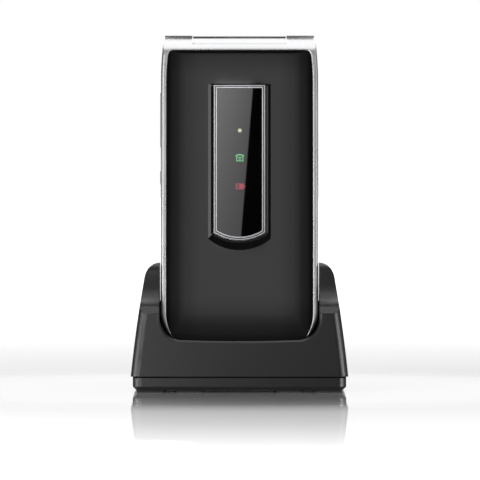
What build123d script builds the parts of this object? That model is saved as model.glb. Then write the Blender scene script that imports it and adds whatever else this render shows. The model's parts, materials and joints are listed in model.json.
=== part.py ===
from build123d import *
import math
import os

# Flip phone standing in its desktop charging cradle. Millimetres, +Z up, -Y is the front.
# Origin: centre of the footprint, on the surface that the cradle's feet stand on.
# The phone is drawn upright in its own frame (x across, y from front to back, z from its
# bottom end to its hinge end) and then leaned back into the cradle.

# ---------------------------------------------------------------- driving dimensions
lean = 10.0  # the phone leans back by this many degrees in the cradle
phone_y, phone_z = -12.0, 11.8  # centre of the phone's bottom end

half_width = 26.5
corner_x, corner_z, corner_r = 9.2, 11.6, 8.2  # bottom corners: reach each way, radius at the bottom
taper_z, top_half_width = 92.0, 25.2  # the sides draw in above taper_z
hinge_y, hinge_z = -1.3, 104.0
knuckle_r, barrel_r = 5.0, 4.8
knuckle_in, barrel_half = 15.9, 15.65
hinge_end, cam_r, journal_r, bore_r = 22.5, 2.2, 2.6, 3.3
open_angle = 150.0
top_z = hinge_z + knuckle_r

# depths of the lid, front to back
panel_front, panel_back = -9.5, -8.2
frame_front, frame_floor = -9.3, -7.2
cover_front, lid_back = -3.0, -1.5
lid_bottom, foot_bevel, frame_bevel = 3.1, 0.7, 0.6
panel_bottom, panel_top, panel_half = 3.6, 102.7, 24.65
panel_margin = 0.15  # least width of the frame round the panel

# depths of the keypad half, front to back
deck_rim, deck, deck_under = -1.1, -0.5, 0.3
case_seam, base_back = 3.5, 9.5
base_top = 98.5
chin_top, chin_front = 2.7, -9.2
key_top = -1.0
mat_front, dome_front, board_front, board_back = 1.3, 2.1, 2.4, 3.4
bay_floor, cover_inner = 4.2, 8.0
edge_bevel = 1.9  # bevel round the back

# indicator window in the lid
window_half, window_top, window_corner, window_low = 10.6, 91.1, 38.3, 34.3
trim_half, trim_top, trim_corner, trim_low = 8.6, 90.7, 40.5, 37.9
trim_rib, trim_groove, trim_bead = 0.3, 0.6, 1.0  # inner edges, measured in from the outline

# keypad
key_w, key_h, pitch_x, pitch_z, first_row = 13.6, 8.6, 15.0, 10.4, 14.0
key_cut, key_bevel, key_flange, key_gap = 1.3, 0.3, 0.5, 0.2
key_back = deck_under + 0.6
side_key_x, soft_z, call_z, nav_z = 17.5, 74.5, 60.5, 67.5
ok_r = 5.0

# battery cover and what lies above it
cover_half, cover_low, cover_high = 24.4, 24.0, 83.0
bay_z, speaker_z, speaker_pitch = 54.0, 13.0, 2.4
upper_z = 88.5
camera_x, lens_r, lamp_x, lamp_r = -14.0, 3.05, -6.4, 1.5
sos_x, sos_w, sos_h = 4.0, 11.8, 5.8
socket_y = 6.2

# cradle
fit = 0.35  # clearance round the phone
wall = 2.2
seam_z, foot_h = 5.3, 0.8
lip_z, lip_bow, lip_bevel, lip_fall = 17.6, 0.37, 0.7, 1.9
shelf_z, ear_z = 28.7, 42.9
cradle_half, cradle_mid, cradle_top, cradle_depth = 36.4, 34.9, 30.9, 62.0
cradle_mid_z, cradle_top_z = 18.3, 44.0
ear_in = half_width + fit
pin_x, pin_y = 3.5, 1.5

# small fasteners and sockets
screw_r, screw_head_r, well_r = 0.7, 1.5, 1.65
usb_y, usb_low, usb_high = 6.0, 52.4, 59.6

# tongue by which the hinge barrel is held between the two cases
tongue_half, tongue_front, tongue_back, tongue_low = 13.0, 0.8, 3.3, 91.2

phone_place = Location((0, phone_y, phone_z), (-lean, 0, 0))
parts = {}


# ---------------------------------------------------------------- helpers
def slab(outline, front, back):
    """Solid from an x-z outline between two depths."""
    plane = Plane(origin=(0, back, 0), x_dir=(1, 0, 0), z_dir=(0, -1, 0))
    return extrude(plane * outline, amount=back - front)


def across(profile, left, right):
    """Solid from a y-z profile between two x positions."""
    plane = Plane(origin=(left, 0, 0), x_dir=(0, 1, 0), z_dir=(1, 0, 0))
    return extrude(plane * profile, amount=right - left)


def block(x0, x1, y0, y1, z0, z1):
    """Box from its limits."""
    centre = ((x0 + x1) / 2, (y0 + y1) / 2, (z0 + z1) / 2)
    return Pos(*centre) * Box(x1 - x0, y1 - y0, z1 - z0)


def rod_x(x0, x1, y, z, radius):
    """Cylinder along x."""
    return Pos((x0 + x1) / 2, y, z) * Rot(0, 90, 0) * Cylinder(radius, x1 - x0)


def rod_y(y0, y1, x, z, radius):
    """Cylinder along y."""
    return Pos(x, (y0 + y1) / 2, z) * Rot(90, 0, 0) * Cylinder(radius, y1 - y0)


def peg_y(y0, y1, x, z, radius, sides=8):
    """Small round thing along y, drawn with a few flats."""
    return slab(Pos(x, z) * RegularPolygon(radius, sides), y0, y1)


def peg_z(z0, z1, x, y, radius, sides=8):
    """Small round thing along z, drawn with a few flats."""
    return Pos(x, y, z0) * extrude(RegularPolygon(radius, sides), amount=z1 - z0)


def cut_rectangle(width, height, cut):
    """Rectangle whose corners are cut at 45 degrees."""
    return chamfer(Rectangle(width, height).vertices(), cut)


def screw(x, z, tip, shoulder, top):
    """Pan-head screw along y, driven from the back."""
    return peg_y(shoulder, top, x, z, screw_head_r) + peg_y(tip, shoulder, x, z, screw_r, 6)


def hinge_rod(x0, x1, radius):
    return rod_x(x0, x1, hinge_y, hinge_z, radius)


def arc(centre, radius, start, end):
    """Arc about `centre` between two directions in degrees."""
    points = []
    for angle in (start, (start + end) / 2, end):
        turn = math.radians(angle)
        points.append((centre[0] + radius * math.cos(turn), centre[1] + radius * math.sin(turn)))
    return ThreePointArc(*points)


def mirrored(half):
    """A face together with its mirror image in x."""
    return half + mirror(half, Plane.YZ)


def group(shapes):
    """Several separate solids as one shape."""
    whole = shapes[0]
    for shape in shapes[1:]:
        whole += shape
    return whole


def corner_arcs(side, low, reach_x, reach_z, foot_r):
    """Lower right corner: a tight arc off the bottom edge, then a wider one into the side."""
    side_r = (reach_x**2 + (reach_z - foot_r) ** 2 - foot_r**2) / (2 * (reach_x - foot_r))
    foot = (side - reach_x, low + foot_r)
    flank = (side - side_r, low + reach_z)
    meet = math.degrees(math.atan2(foot[1] - flank[1], foot[0] - flank[0]))
    return [arc(foot, foot_r, -90, meet), arc(flank, side_r, meet, 0)]


def front_outline(bottom, inset=0.0, top=top_z):
    """The phone seen from the front: straight sides, soft lower corners, drawn-in top."""
    w, t = half_width - inset, top_half_width - inset
    cx, cz = corner_x - inset, corner_z - inset
    low, high = bottom + inset, top - inset
    right = [
        Line((0, low), (w - cx, low)),
        *corner_arcs(w, low, cx, cz, corner_r - inset),
        Line((w, low + cz), (w, taper_z)),
        ThreePointArc((w, taper_z), ((w + t) / 2 + 0.35, (taper_z + high) / 2), (t, high)),
        Line((t, high), (0, high)),
        Line((0, high), (0, low)),
    ]
    return mirrored(make_face(right))


def inner_outline(inset, low, high):
    """Outline inside the walls, with plain cuts across the bottom corners."""
    side, top = half_width - inset, top_half_width - inset
    cut_x, cut_z = corner_x - 2.2, corner_z - 2.0
    return Polygon(
        (side - cut_x, low), (side, low + cut_z), (side, taper_z), (top, high),
        (-top, high), (-side, taper_z), (-side, low + cut_z), (cut_x - side, low), align=None,
    )


def tongue(half, top, corner, low):
    """Window outline: square top, straight sides, bottom edge bowed down to `low`."""
    edges = [
        Polyline((-half, corner), (-half, top), (half, top), (half, corner)),
        ThreePointArc((half, corner), (0, low), (-half, corner)),
    ]
    return make_face(edges)


def key_cap(x, z, width, height, corner):
    """Push key: a bevelled cap that fills its window, and a flange that holds it in."""
    cap = slab(Pos(x, z) * cut_rectangle(width, height, corner), key_top, key_back)
    front = cap.faces().sort_by(Axis.Y)[0]
    cap = chamfer(front.edges(), key_bevel)
    skirt = Pos(x, z) * cut_rectangle(width + 2 * key_flange, height + 2 * key_flange, corner)
    return cap + slab(skirt, deck_under + 0.15, key_back)


# ---------------------------------------------------------------- lid
def lid_side_profile(front):
    """Side view of the lid down to its inner face: bevelled foot, flat front, round top."""
    radius = hinge_y - front
    edges = [
        Polyline((lid_back, lid_bottom), (front + foot_bevel, lid_bottom), (front, lid_bottom + foot_bevel)),
        Line((front, lid_bottom + foot_bevel), (front, top_z - radius)),
        arc((hinge_y, top_z - radius), radius, 180, 90),
        Polyline((hinge_y, top_z), (hinge_y, hinge_z), (lid_back, hinge_z), (lid_back, lid_bottom)),
    ]
    return make_face(edges)


def lid_frame():
    body = slab(front_outline(lid_bottom), frame_front, lid_back)
    body = chamfer(body.faces().sort_by(Axis.Y)[0].edges(), frame_bevel)
    body &= across(lid_side_profile(frame_front), -30, 30)
    # the frame stops where the inner cover begins, except at the hinge end
    body -= block(-30, 30, cover_front, 0, 0, hinge_z - 6.5)
    body += hinge_rod(-top_half_width, top_half_width, knuckle_r)
    # recess that the panel lies in
    body -= slab(panel_outline(-0.1), panel_front - 1, panel_back)
    # hollow behind the floor, left open for the inner cover
    hollow = inner_outline(1.6, lid_bottom + 1.6, hinge_z - 5.4)
    body -= slab(hollow, frame_floor, cover_front)
    for x, z in lid_screw_places:
        body += block(x - 1.7, x + 1.7, frame_floor, cover_front, z - 1.7, z + 1.7)
        body -= peg_y(screw_tip - 0.2, cover_front, x, z, screw_r, 6)
    # light well behind the indicator window
    body -= block(-6, 6, panel_back - 0.1, frame_floor, 50, 80)
    # notch in which the hinge barrel of the keypad half turns
    body -= block(-knuckle_in, knuckle_in, -12, 6, hinge_z + 1.1, top_z + 1)
    body -= hinge_rod(-knuckle_in, knuckle_in, knuckle_r + 0.1)
    body -= block(-knuckle_in, knuckle_in, lid_back, 6, hinge_z - 6.4, top_z)
    # seats of the cam pin and of the pivot tube
    body -= hinge_rod(knuckle_in - 1, hinge_end, cam_r)
    body -= hinge_rod(-hinge_end, 1 - knuckle_in, journal_r)
    return body


def panel_outline(inset=0.0):
    """Outline of the dark face panel."""
    w, cx, cz, foot_r = panel_half - inset, 5.4 - inset, 9.6 - inset, 3.9 - inset
    low, high = panel_bottom + inset, panel_top - inset
    right = [
        Line((0, low), (w - cx, low)),
        *corner_arcs(w, low, cx, cz, foot_r),
        Line((w, low + cz), (w, taper_z)),
        ThreePointArc((w, taper_z), (w - 0.2, (taper_z + high) / 2), (w - 0.75, high)),
        Line((w - 0.75, high), (0, high)),
        Line((0, high), (0, low)),
    ]
    face = mirrored(make_face(right)) & front_outline(lid_bottom, inset + panel_margin)
    top_corners = face.vertices().sort_by(Axis.Y)[-2:]
    return fillet(top_corners, 2.0)


def lid_panel():
    """Glossy face: pillowed to its long edges and rolled to its ends, with the window recess."""
    edge = panel_front + 0.35
    crown = make_face(
        [
            Polyline((panel_half, edge), (panel_half, 0), (-panel_half, 0), (-panel_half, edge)),
            ThreePointArc((-panel_half, edge), (-panel_half + 3.4, panel_front + 0.09), (-17, panel_front)),
            Line((-17, panel_front), (17, panel_front)),
            ThreePointArc((17, panel_front), (panel_half - 3.4, panel_front + 0.09), (panel_half, edge)),
        ]
    )
    pillow = extrude(crown, amount=top_z)
    radius = hinge_y - panel_front
    roll = make_face(
        [
            Polyline((edge, panel_bottom), (0, panel_bottom), (0, top_z), (hinge_y, top_z)),
            arc((hinge_y, top_z - radius), radius, 90, 180),
            Line((panel_front, top_z - radius), (panel_front, 12.0)),
            ThreePointArc((panel_front, 12.0), (panel_front + 0.09, 8.2), (edge, panel_bottom)),
        ]
    )
    panel = slab(panel_outline(), panel_front, panel_back) & pillow & across(roll, -30, 30)
    # the recess slopes in from its rim to the trim, most at the scooped lower end
    rim = Plane(origin=(0, panel_front, 0), x_dir=(1, 0, 0), z_dir=(0, -1, 0))
    foot = Plane(origin=(0, panel_back, 0), x_dir=(1, 0, 0), z_dir=(0, -1, 0))
    mouth = rim * tongue(window_half, window_top, window_corner, window_low)
    seat = foot * tongue(trim_half + 0.05, trim_top + 0.05, trim_corner - 0.05, trim_low - 0.05)
    return panel - loft([seat, mouth])


def trim_outline(inset=0.0):
    return tongue(trim_half - inset, trim_top - inset, trim_corner + inset * 0.6, trim_low + inset)


def indicator_trim():
    """Bright surround: a low outer rib, a groove and a higher inner bead."""
    ring = slab(trim_outline(), -9.3, panel_back) + slab(trim_outline(trim_groove), -9.45, -9.3)
    groove = slab(trim_outline(trim_rib), -10, -8.9) - slab(trim_outline(trim_groove), -10, -8.9)
    return ring - groove - slab(trim_outline(trim_bead), -10, panel_back)


def indicator_window():
    return slab(trim_outline(trim_bead), -9.25, panel_back)


def indicator_board():
    return block(-8, 8, -7.15, -6.45, 48.0, 84.0)


led_places = [75.2, 65.8, 56.1]
ear_slot_z, ear_slot_pitch, bumper_r = 14.0, 2.2, 1.5


def indicator_leds():
    lamps = [block(-1.0, 1.0, -7.9, -7.15, z - 0.7, z + 0.7) for z in led_places]
    return group(lamps)


def lcd_module():
    """Display: glass stack on a metal tray, with its driver ledge at the hinge end."""
    tray = block(-22.0, 22.0, -6.3, -4.6, 24.0, 86.0)
    glass = block(-21.2, 21.2, -4.6, -3.1, 24.8, 80.0)
    return tray + glass


def earpiece():
    """Receiver behind the slots at the free end of the lid."""
    can = slab(Pos(0, ear_slot_z) * cut_rectangle(15.0, 7.0, 2.0), -6.6, -3.6)
    rim = slab(Pos(0, ear_slot_z) * cut_rectangle(13.0, 5.0, 1.4), -3.6, -3.1)
    return can + rim


lid_screw_places = [(-21.6, 18.5), (21.6, 18.5), (-21.6, 90.5), (21.6, 90.5)]
bumper_places = [(-19.0, 8.4), (19.0, 8.4), (-23.2, 94.0), (23.2, 94.0)]
display_half, display_low, display_high, display_ledge = 19.6, 27.0, 79.0, 1.5
screw_tip = -6.2


def display_outline(grow):
    middle = Pos(0, (display_low + display_high) / 2)
    return middle * cut_rectangle(2 * (display_half + grow), display_high - display_low + 2 * grow, 1.0)


def lid_inner_cover():
    """Inner cover: display opening, listening slots, screw wells and seats of the bumpers."""
    cover = slab(front_outline(lid_bottom, top=hinge_z - 6.6), cover_front, lid_back)
    cover -= slab(display_outline(0), cover_front, lid_back)
    cover -= slab(display_outline(display_ledge), lid_back - 0.8, lid_back)
    for i in range(-2, 3):
        middle = i * ear_slot_pitch
        cover -= block(middle - 0.5, middle + 0.5, cover_front, lid_back, ear_slot_z - 2.3, ear_slot_z + 2.3)
    for x, z in lid_screw_places:
        cover -= peg_y(lid_back - 1.0, lid_back, x, z, well_r)
        cover -= peg_y(cover_front, lid_back - 1.0, x, z, screw_r + 0.15, 6)
    for x, z in bumper_places:
        cover -= peg_y(lid_back - 0.5, lid_back, x, z, bumper_r)
    return cover


def display_window():
    return slab(display_outline(display_ledge - 0.1), lid_back - 0.8, lid_back - 0.05)


def lid_bumpers():
    pads = [peg_y(lid_back - 0.5, lid_back + 0.2, x, z, bumper_r) for x, z in bumper_places]
    return group(pads)


def lid_screws():
    return group([screw(x, z, screw_tip, lid_back - 1.0, lid_back - 0.25) for x, z in lid_screw_places])


def hinge_cam_pin():
    """Right end of the hinge: round seat in the knuckle and a flatted drive in the cartridge."""
    drive = hinge_rod(11.0, knuckle_in, 1.8) & block(10, 17, hinge_y - 1.2, hinge_y + 1.2, 100, 108)
    return hinge_rod(knuckle_in, hinge_end, cam_r) + drive


def hinge_pivot_tube():
    """Left end of the hinge: a hollow journal for the display's flat cable."""
    return hinge_rod(-hinge_end, -11.0, journal_r) - hinge_rod(-23, -10, 1.6)


# ---------------------------------------------------------------- keypad half
def base_side_profile():
    """Side view of the keypad half behind its seam, rounded over to the hinge."""
    edges = [
        Polyline((case_seam, base_top), (case_seam, 0), (base_back, 0), (base_back, 91.0)),
        ThreePointArc((base_back, 91.0), (8.6, 95.4), (6.0, base_top)),
        Line((6.0, base_top), (case_seam, base_top)),
    ]
    return make_face(edges)


def rear_body():
    body = slab(front_outline(0, top=top_z), case_seam, base_back)
    back = body.faces().sort_by(Axis.Y)[-1]
    body = chamfer([e for e in back.edges() if e.center().Z < top_z - 1], edge_bevel)
    return body & across(base_side_profile(), -30, 30)


def hinge_clearance(side):
    """Room at one shoulder for the knuckle and for the lid's corner when the lid is open."""
    opened = math.radians(open_angle)
    radius = hinge_y - frame_front
    drop = hinge_z - (top_z - radius)
    centre_y = hinge_y - drop * math.sin(opened)
    centre_z = hinge_z - drop * math.cos(opened)
    x0, x1 = (barrel_half, 30) if side > 0 else (-30, -barrel_half)
    return hinge_rod(x0, x1, knuckle_r + 0.35) + rod_x(x0, x1, centre_y, centre_z, radius + 0.35)


case_screw_places = [(-23.4, 27.0), (23.4, 27.0), (-23.4, 80.5), (23.4, 80.5)]
number_keys = {
    "key_1": (-1, 3), "key_2": (0, 3), "key_3": (1, 3),
    "key_4": (-1, 2), "key_5": (0, 2), "key_6": (1, 2),
    "key_7": (-1, 1), "key_8": (0, 1), "key_9": (1, 1),
    "key_star": (-1, 0), "key_0": (0, 0), "key_hash": (1, 0),
}
function_keys = {
    "soft_key_left": (-side_key_x, soft_z), "soft_key_right": (side_key_x, soft_z),
    "call_key": (-side_key_x, call_z), "end_key": (side_key_x, call_z),
}
function_w, function_h, function_cut = 10.6, 9.0, 2.2
nav_w, nav_h = 20.0, 19.0
rocker_z, rocker_len, rocker_y = 80.5, 19.0, 1.5
torch_z, torch_len = 60.7, 5.0


def case_posts(front, back):
    """Posts of the case screws, each joined to the side wall."""
    posts = []
    for x, z in case_screw_places:
        inner, outer = abs(x) - 0.8, half_width - 0.6
        left = inner if x > 0 else -outer
        posts.append(block(left, left + outer - inner, front, back, z - 1.8, z + 1.8))
    return group(posts)


def pad_wells():
    """Wells of the two charging pads, open through the bottom end."""
    return group([block(x - 1.5, x + 1.5, pin_y - 1.5, pin_y + 1.5, -1, 1.2) for x in (-pin_x, pin_x)])


def tongue_room(front, back):
    return block(-tongue_half - 0.2, tongue_half + 0.2, front, back, tongue_low - 0.2, base_top)


def keypad_case():
    """Front moulding of the keypad half: rim, sunken deck with a window for each key, chin."""
    body = slab(front_outline(0, top=base_top), deck_rim, case_seam)
    chin_shape = front_outline(0) & (Pos(0, chin_top / 2) * Rectangle(80, chin_top))
    chin = slab(chin_shape, chin_front, deck_rim)
    lower = [e for e in chin.edges() if e.center().Y < chin_front + 0.01 and e.center().Z < 0.5]
    body += chamfer(lower, 0.8)
    body -= slab(Pos(0, 43.5) * cut_rectangle(47.4, 75.0, 3.6), deck_rim - 1, deck)
    body -= slab(inner_outline(1.5, 1.5, base_top - 1), deck_under, case_seam)
    body += case_posts(deck_under, case_seam)
    for x, z in case_screw_places:
        body -= peg_y(0.8, case_seam, x, z, screw_r, 6)
    for column, row in number_keys.values():
        window = cut_rectangle(key_w + 2 * key_gap, key_h + 2 * key_gap, key_cut + 0.12)
        body -= slab(Pos(column * pitch_x, first_row + row * pitch_z) * window, deck - 1, deck_under)
    for x, z in function_keys.values():
        window = cut_rectangle(function_w + 2 * key_gap, function_h + 2 * key_gap, function_cut + 0.12)
        body -= slab(Pos(x, z) * window, deck_rim - 1, deck_under)
    body -= slab(Pos(0, nav_z) * RectangleRounded(nav_w + 0.7, nav_h + 0.7, 6.6), -2, deck_under)
    # side windows of the volume rocker and of the torch key
    for z, length in ((rocker_z, rocker_len), (torch_z, torch_len)):
        body -= Pos(-25.6, rocker_y, z) * Box(2.6, 2.8, length + 0.6)
    body -= block(-24.9, -24.3, 0.3, case_seam, rocker_z - 10.2, rocker_z + 10.2)
    # microphone hole in the chin
    body -= peg_y(chin_front - 1, chin_front + 3, 0, 1.4, 0.5, 6)
    body -= pad_wells()
    # room for the hinge barrel's tongue
    body -= tongue_room(tongue_front - 0.2, case_seam)
    return body - hinge_clearance(1) - hinge_clearance(-1)


def rear_case():
    """Back moulding: battery bay, loudspeaker chamber with slots, upper strip, socket holes."""
    body = rear_body()
    # the cover lies in a rebate, and the battery in a deeper bay
    body -= slab(cover_outline(-0.2), cover_inner, base_back + 1)
    body -= slab(Pos(0, bay_z) * cut_rectangle(38.6, 54.4, 1.0), bay_floor, base_back)
    for x, z in case_screw_places:
        body -= peg_y(case_seam, cover_inner - 1.2, x, z, screw_r + 0.15, 6)
        body -= peg_y(cover_inner - 1.2, base_back, x, z, well_r)
    # loudspeaker chamber, open inwards, and its slots
    body -= slab(Pos(0, speaker_z) * cut_rectangle(21.0, 12.4, 1.0), case_seam, 8.0)
    for i in range(-3, 4):
        middle = i * speaker_pitch
        body -= block(middle - 0.55, middle + 0.55, 7.9, base_back + 1, speaker_z - 3.5, speaker_z + 3.5)
    # upper strip: camera, torch lamp and emergency button
    body -= slab(Pos(camera_x, upper_z) * Rectangle(8.4, 8.4), case_seam, 8.4)
    body -= rod_y(8.3, 10, camera_x, upper_z, lens_r + 0.15)
    body -= rod_y(case_seam, 10, lamp_x, upper_z, lamp_r + 0.1)
    body -= slab(Pos(sos_x, upper_z) * SlotOverall(sos_w + 0.6, sos_h + 0.6), 7.0, 10)
    body -= slab(Pos(sos_x, upper_z) * Rectangle(sos_w + 1.8, sos_h + 1.8), case_seam, 8.2)
    body -= rod_x(13.4, 30, socket_y, upper_z, 2.4)
    body -= block(20.8, 30, usb_y - 1.4, usb_y + 1.4, usb_low - 0.2, usb_high + 0.2)
    body -= tongue_room(case_seam, 4.4)
    body -= pad_wells()
    return body - hinge_clearance(1) - hinge_clearance(-1)


def cover_outline(inset=0.0):
    height = cover_high - cover_low - 2 * inset
    return Pos(0, (cover_low + cover_high) / 2) * cut_rectangle(2 * (cover_half - inset), height, 2.0)


def battery_cover():
    """Follows the bevelled back; a skirt inside locates it in the bay, a notch lifts it."""
    cover = rear_body() & slab(cover_outline(), cover_inner + 0.1, base_back + 1)
    skirt = Pos(0, bay_z) * cut_rectangle(38.0, 53.8, 0.8)
    inner = Pos(0, bay_z) * Rectangle(36.4, 52.2)
    cover += slab(skirt, 7.4, cover_inner + 0.2) - slab(inner, 7.3, cover_inner + 0.2)
    notch = Pos(0, cover_low) * cut_rectangle(12.0, 3.0, 1.2)
    return cover - slab(notch, base_back - 0.5, base_back + 1)


def hinge_barrel():
    """Middle of the hinge: tube, neck that fairs it into the back, tongue between the cases."""
    neck = make_face(
        [
            Polyline((deck_rim, base_top), (6.0, base_top)),
            ThreePointArc((6.0, base_top), (4.6, 101.0), (hinge_y + barrel_r, hinge_z)),
            Polyline((hinge_y + barrel_r, hinge_z), (deck_rim, hinge_z), (deck_rim, base_top)),
        ]
    )
    body = hinge_rod(-barrel_half, barrel_half, barrel_r) + across(neck, -barrel_half, barrel_half)
    body += block(-tongue_half, tongue_half, tongue_front, tongue_back, tongue_low, base_top + 0.5)
    return body - hinge_rod(-20, 20, bore_r)


def hinge_cartridge():
    """Sealed spring and cam unit that snaps the lid open and shut; the drive end is open."""
    return hinge_rod(-7.0, 15.0, bore_r) - hinge_rod(10.8, 16, 2.0)


def hinge_bush():
    """Plain bearing in the left end of the barrel."""
    return hinge_rod(-15.4, -11.0, bore_r) - hinge_rod(-16, -10, journal_r + 0.1)


def main_board():
    """Circuit board, notched for the hinge barrel's tongue."""
    outline = Pos(0, 47.0) * cut_rectangle(44.4, 86.0, 4.0)
    board = slab(outline, board_front, board_back)
    return board - block(-tongue_half - 0.4, tongue_half + 0.4, 2.0, 4.0, tongue_low - 0.4, 100)


def dome_sheet():
    """Carrier film with one snap dome under each key."""
    outline = Pos(0, 44.5) * cut_rectangle(44.0, 72.0, 2.0)
    sheet = slab(outline, 2.25, board_front)
    places = [(c * pitch_x, first_row + r * pitch_z) for c, r in number_keys.values()]
    places += list(function_keys.values()) + [(0, nav_z)]
    for x, z in places:
        sheet += peg_y(dome_front, 2.25, x, z, 2.0, 6)
    return sheet


def keymat():
    """Rubber mat between the keys and the domes."""
    outline = Pos(0, 44.5) * cut_rectangle(44.2, 72.6, 2.0)
    return slab(outline, mat_front, dome_front - 0.1)


def battery():
    cell = slab(Pos(0, bay_z) * cut_rectangle(35.0, 51.4, 1.2), bay_floor + 0.1, 7.2)
    return cell + block(-6.0, 6.0, 4.8, 6.6, 79.7, 80.4)


def loudspeaker():
    ring = slab(Pos(0, speaker_z) * cut_rectangle(20.0, 11.4, 1.4), 3.9, 7.4)
    cone = slab(Pos(0, speaker_z) * cut_rectangle(17.0, 8.4, 1.4), 7.4, 7.8)
    return ring + cone


def camera_module():
    """Camera on its square foot, with the torch lamp beside it."""
    foot = slab(Pos(camera_x, upper_z) * Rectangle(7.6, 7.6), case_seam + 0.1, 8.2)
    lens = rod_y(8.2, base_back - 0.25, camera_x, upper_z, lens_r) - rod_y(9.0, 10, camera_x, upper_z, 1.9)
    lamp = rod_y(case_seam + 0.1, base_back - 0.2, lamp_x, upper_z, lamp_r)
    return group([foot + lens, lamp])


def charge_pads():
    return group([block(x - 1.3, x + 1.3, pin_y - 1.3, pin_y + 1.3, 0.15, 1.1) for x in (-pin_x, pin_x)])


def phone_usb_socket():
    shell = block(21.0, 26.2, usb_y - 1.3, usb_y + 1.3, usb_low, usb_high)
    shell -= block(22.5, 27, usb_y - 0.9, usb_y + 0.9, usb_low + 0.5, usb_high - 0.5)
    return shell + block(22.0, 25.6, usb_y - 0.2, usb_y + 0.2, usb_low + 1.4, usb_high - 1.4)


def headphone_socket():
    return rod_x(13.6, 26.4, socket_y, upper_z, 2.3) - rod_x(14.4, 27, socket_y, upper_z, 1.75)


def case_screws():
    return group([screw(x, z, 0.9, cover_inner - 1.2, cover_inner - 0.3) for x, z in case_screw_places])


# ---------------------------------------------------------------- keys
def nav_rocker():
    """Ring round the OK key; it rocks on two lugs under the deck."""
    ring = slab(Pos(0, nav_z) * RectangleRounded(nav_w, nav_h, 6.2), key_top, key_back)
    front = ring.faces().sort_by(Axis.Y)[0]
    ring = chamfer(front.edges(), key_bevel)
    lugs = block(-nav_w / 2 - 0.9, nav_w / 2 + 0.9, deck_under + 0.2, key_back, nav_z - 1.5, nav_z + 1.5)
    return ring + lugs - rod_y(-2, 2, 0, nav_z, ok_r + 0.6)


def ok_key():
    """Domed round key in the middle of the rocker."""
    cap = rod_y(key_top, key_back, 0, nav_z, ok_r)
    return chamfer(cap.edges().sort_by(Axis.Y)[0], 0.35)


def side_key(z, length):
    """Bar in a window of the left side wall, bevelled all round its outer face."""
    bar = Pos(-25.75, rocker_y, z) * Box(2.1, 2.2, length)
    return chamfer(bar.faces().sort_by(Axis.X)[0].edges(), 0.4)


def sos_button():
    """Emergency button: an oval cap level with the back, on a flange inside the case."""
    cap = slab(Pos(sos_x, upper_z) * SlotOverall(sos_w, sos_h), 8.1, base_back - 0.05)
    cap = chamfer(cap.faces().sort_by(Axis.Y)[-1].edges(), 0.3)
    return cap + slab(Pos(sos_x, upper_z) * Rectangle(sos_w + 1.2, sos_h + 1.2), 7.3, 8.1)


# ---------------------------------------------------------------- cradle
def cradle_front():
    """Front view of the cradle: sides that lean in and curve a little."""
    middle, top = (cradle_mid, cradle_mid_z), (cradle_top, cradle_top_z)
    right = [
        Line((0, seam_z), (cradle_half, seam_z)),
        ThreePointArc((cradle_half, seam_z), middle, top),
        Polyline(top, (0, cradle_top_z), (0, seam_z)),
    ]
    return mirrored(make_face(right))


def cradle_outer():
    """Outside of the cradle: rounded block under a profile with shelf, scoop and ears."""
    body = slab(cradle_front(), -cradle_depth / 2, cradle_depth / 2)
    corners = [e for e in body.edges() if 35 < e.length < 45]
    body = fillet(corners, 3.0)
    body &= across(cradle_profile(), -40, 40)
    # round the ears over in the front view, from the point where the arc meets the side
    for side in (-1, 1):
        meets = Pos(side * 31.5, ear_z + 0.6) * Rectangle(10, 10.1)
        corner = meets - Pos(side * 26.57, ear_z - 5.4) * Circle(5.4)
        body -= slab(corner, -40, 40)
    return body


def cradle_profile():
    """Side view: upright front, bevel, shelf running up a hollow to the ear, long swept back."""
    shelf_y, bevel, scoop, ear_r = -28.6, 2.1, 11.5, 2.7
    back_r, sweep_r = 12.0, 26.0
    ear_y = shelf_y + scoop + ear_r
    low = seam_z - 1
    steep, shallow = 33.0, 76.0
    sweep_centre = (37.3, 38.7)
    front_scoop = arc((shelf_y, shelf_z + scoop), scoop, 270, 360)
    ear_front = arc((ear_y, ear_z - ear_r), ear_r, 180, 90)
    ear_back = arc((-3.0, ear_z - back_r), back_r, 90, steep)
    sweep = arc(sweep_centre, sweep_r, 180 + steep, 180 + shallow)
    outside = [
        Polyline((-40, low), (-40, shelf_z - bevel), (shelf_y - bevel, shelf_z - bevel), (shelf_y, shelf_z)),
        front_scoop,
        ear_front,
        Line(ear_front @ 1, ear_back @ 0),
        ear_back,
        Line(ear_back @ 1, sweep @ 0),
        sweep,
        Polyline(sweep @ 1, (40, (sweep @ 1).Y), (40, low), (-40, low)),
    ]
    return make_face(outside)


def lip_outline(grow=0.0):
    """Opening in the cradle's front: a U with soft lower corners and a bowed lip."""
    cx, cz, foot_r = 7.2 + grow, 8.6 + grow, 6.6 + grow
    side, low, middle = ear_in + grow, lip_z - grow, lip_z - lip_bow - grow
    right = [
        ThreePointArc((0, middle), ((side - cx) / 2, low - 0.75 * lip_bow), (side - cx, low)),
        *corner_arcs(side, low, cx, cz, foot_r),
        Polyline((side, low + cz), (side, 60), (0, 60), (0, middle)),
    ]
    return mirrored(make_face(right))


def front_opening():
    """What the lid swings out through: square to the phone, with a bevelled front edge."""
    outer = Plane(origin=(0, -cradle_depth / 2 - 0.01, 0), x_dir=(1, 0, 0), z_dir=(0, -1, 0))
    inner = Plane(origin=(0, lip_bevel - cradle_depth / 2, 0), x_dir=(1, 0, 0), z_dir=(0, -1, 0))
    turn = math.radians(lean)
    inward, into_pocket = (0, math.cos(turn), -math.sin(turn)), 14.5
    bevel = loft([outer * lip_outline(lip_bevel), inner * lip_outline()])
    return bevel + extrude(inner * lip_outline(), amount=into_pocket, dir=inward)


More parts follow.
